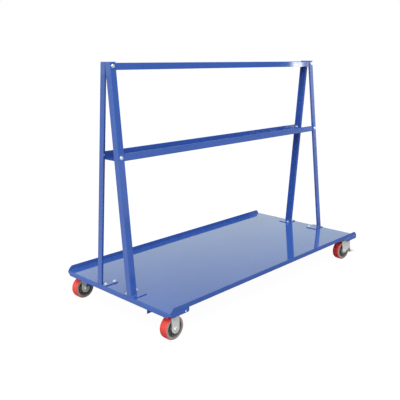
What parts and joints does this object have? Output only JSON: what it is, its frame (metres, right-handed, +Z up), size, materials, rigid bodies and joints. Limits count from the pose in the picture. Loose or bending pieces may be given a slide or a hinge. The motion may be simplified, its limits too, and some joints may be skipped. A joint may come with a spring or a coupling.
{
  "type": "a-frame cart",
  "caption": "Two-sided A-frame panel cart: lipped sheet-steel deck on rigid and braked swivel casters, angle-iron frame with a tray and top bar for leaning boards.",
  "frame": {"origin": "on the floor, under the middle of the whole footprint from the left wheels to the brake pedals' ends", "axes": "+X along the deck towards the swivelling casters, +Y across towards the back, +Z up"},
  "size_m": [1.857, 0.9144, 1.4098],
  "materials": {
    "blue_paint": "glossy blue powder coat",
    "zinc": "bright zinc plating",
    "cast_core": "grey cast metal",
    "red_tread": "red polyurethane, semi-gloss",
    "bearing_steel": "ground steel, lightly greased"
  },
  "bodies": {
    "frame": {"caster_nuts": "zinc", "caster_studs": "zinc", "corner_bar_back_left": "blue_paint", "corner_bar_back_right": "blue_paint", "corner_bar_front_left": "blue_paint", "corner_bar_front_right": "blue_paint", "deck": "blue_paint", "foot_back_left": "blue_paint", "foot_back_right": "blue_paint", "foot_bolts": "zinc", "foot_front_left": "blue_paint", "foot_front_right": "blue_paint", "foot_nuts": "zinc", "frame_bolts": "zinc", "frame_nuts": "zinc", "king_nuts": "zinc", "leg_back_left": "blue_paint", "leg_back_right": "blue_paint", "leg_front_left": "blue_paint", "leg_front_right": "blue_paint", "mid_tray": "blue_paint", "rigid_axle_bolts": "zinc", "rigid_axle_nuts": "zinc", "rigid_fork_back_left": "zinc", "rigid_fork_front_left": "zinc", "rigid_plate_back_left": "zinc", "rigid_plate_front_left": "zinc", "rigid_sleeves": "bearing_steel", "stiffener_back": "blue_paint", "stiffener_front": "blue_paint", "swivel_balls": "bearing_steel", "swivel_plate_back_right": "zinc", "swivel_plate_front_right": "zinc", "top_bar": "blue_paint", "washers": "zinc"},
    "wheel_front_left": {"wheel_core_front_left": "cast_core", "tread_front_left": "red_tread", "bearing_front_left": "bearing_steel"},
    "wheel_back_left": {"wheel_core_back_left": "cast_core", "tread_back_left": "red_tread", "bearing_back_left": "bearing_steel"},
    "wheel_front_right": {"wheel_core_front_right": "cast_core", "tread_front_right": "red_tread", "bearing_front_right": "bearing_steel"},
    "wheel_back_right": {"wheel_core_back_right": "cast_core", "tread_back_right": "red_tread", "bearing_back_right": "bearing_steel"},
    "swivel_front_right": {"yoke_front_right": "zinc", "axle_bolt_front_right": "zinc", "axle_nut_front_right": "zinc", "sleeve_front_right": "bearing_steel", "brake_pin_front_right": "zinc"},
    "brake_front_right": {"brake_lever_front_right": "zinc"},
    "swivel_back_right": {"yoke_back_right": "zinc", "axle_bolt_back_right": "zinc", "axle_nut_back_right": "zinc", "sleeve_back_right": "bearing_steel", "brake_pin_back_right": "zinc"},
    "brake_back_right": {"brake_lever_back_right": "zinc"}
  },
  "joints": [
    {"name": "spin_front_left", "type": "hinge", "parent": "frame", "child": "wheel_front_left", "pos_m": [-0.86504, -0.398, 0.0635], "axis": [0, 1, 0], "continuous": true},
    {"name": "spin_back_left", "type": "hinge", "parent": "frame", "child": "wheel_back_left", "pos_m": [-0.86504, 0.398, 0.0635], "axis": [0, 1, 0], "continuous": true},
    {"name": "swivel_front_right", "type": "hinge", "parent": "frame", "child": "swivel_front_right", "pos_m": [0.83896, -0.398, 0.145], "axis": [0, 0, 1], "continuous": true},
    {"name": "spin_front_right", "type": "hinge", "parent": "swivel_front_right", "child": "wheel_front_right", "pos_m": [0.79836, -0.39229, 0.0635], "axis": [0.1392, 0.9903, 0], "continuous": true},
    {"name": "brake_front_right", "type": "hinge", "parent": "swivel_front_right", "child": "brake_front_right", "pos_m": [0.85084, -0.39967, 0.115], "axis": [0.1392, 0.9903, 0], "range_deg": [0, 9]},
    {"name": "swivel_back_right", "type": "hinge", "parent": "frame", "child": "swivel_back_right", "pos_m": [0.83896, 0.398, 0.145], "axis": [0, 0, 1], "continuous": true},
    {"name": "spin_back_right", "type": "hinge", "parent": "swivel_back_right", "child": "wheel_back_right", "pos_m": [0.79796, 0.398, 0.0635], "axis": [0, 1, 0], "continuous": true},
    {"name": "brake_back_right", "type": "hinge", "parent": "swivel_back_right", "child": "brake_back_right", "pos_m": [0.85096, 0.398, 0.115], "axis": [0, 1, 0], "range_deg": [0, 9]}
  ]
}
